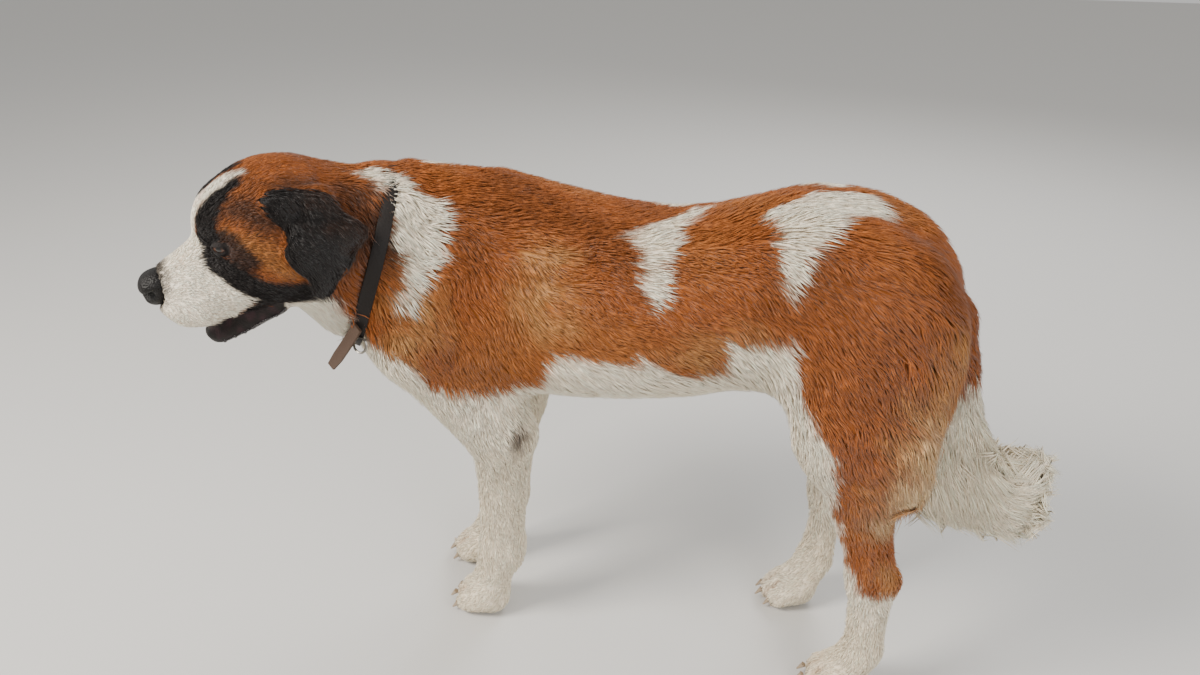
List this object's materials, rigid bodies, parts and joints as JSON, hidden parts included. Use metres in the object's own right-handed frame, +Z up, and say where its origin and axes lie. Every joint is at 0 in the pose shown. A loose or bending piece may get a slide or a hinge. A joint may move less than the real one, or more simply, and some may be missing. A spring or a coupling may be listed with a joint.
{
  "type": "standing saint bernard dog model",
  "caption": "Life-size still model of a standing rust-and-white Saint Bernard with its head turned left and a leather collar",
  "frame": {"origin": "bottom centre of the bounding box, on the floor", "axes": "+X toward the tail, -Y the dog's left side, +Z up"},
  "size_m": [1.1976, 0.4473, 0.7811],
  "materials": {
    "coat_rust": "short to middling rust coat, with white patches in the rendering",
    "nose": "damp black leather of the nose",
    "lip": "damp black lip and white lower jaw",
    "tongue": "damp pink",
    "coat_black": "short flat black-brown coat",
    "eye": "wet brown eye",
    "leather_dark": "worn dark strap",
    "leather_brown": "worn brown strap end",
    "steel_wire": "bent wire ring",
    "coat_white": "short to middling white coat",
    "claw": "smooth dark horn"
  },
  "bodies": {
    "root": {"head": "coat_rust", "nose": "nose", "lower_jaw": "lip", "tongue": "tongue", "ear_left": "coat_black", "eye_left": "eye", "ear_right": "coat_black", "eye_right": "eye", "collar_strap": "leather_dark", "collar_end": "leather_brown", "collar_ring": "steel_wire", "neck": "coat_rust", "trunk_chest": "coat_rust", "trunk_barrel": "coat_rust", "trunk_croup": "coat_rust", "fore_upper_left": "coat_white", "fore_lower_left": "coat_white", "claw_fore_left_1": "claw", "claw_fore_left_2": "claw", "claw_fore_left_3": "claw", "claw_fore_left_4": "claw", "fore_paw_left": "coat_white", "hind_thigh_left": "coat_rust", "hind_shank_left": "coat_rust", "hind_pastern_left": "coat_white", "claw_hind_left_1": "claw", "claw_hind_left_2": "claw", "claw_hind_left_3": "claw", "claw_hind_left_4": "claw", "hind_paw_left": "coat_white", "fore_upper_right": "coat_white", "fore_lower_right": "coat_white", "claw_fore_right_1": "claw", "claw_fore_right_2": "claw", "claw_fore_right_3": "claw", "claw_fore_right_4": "claw", "fore_paw_right": "coat_white", "hind_thigh_right": "coat_rust", "hind_shank_right": "coat_rust", "hind_pastern_right": "coat_white", "claw_hind_right_1": "claw", "claw_hind_right_2": "claw", "claw_hind_right_3": "claw", "claw_hind_right_4": "claw", "hind_paw_right": "coat_white", "tail_root": "coat_rust", "tail_middle": "coat_white", "tail_brush": "coat_white", "tail_tip": "coat_white"}
  },
  "joints": []
}
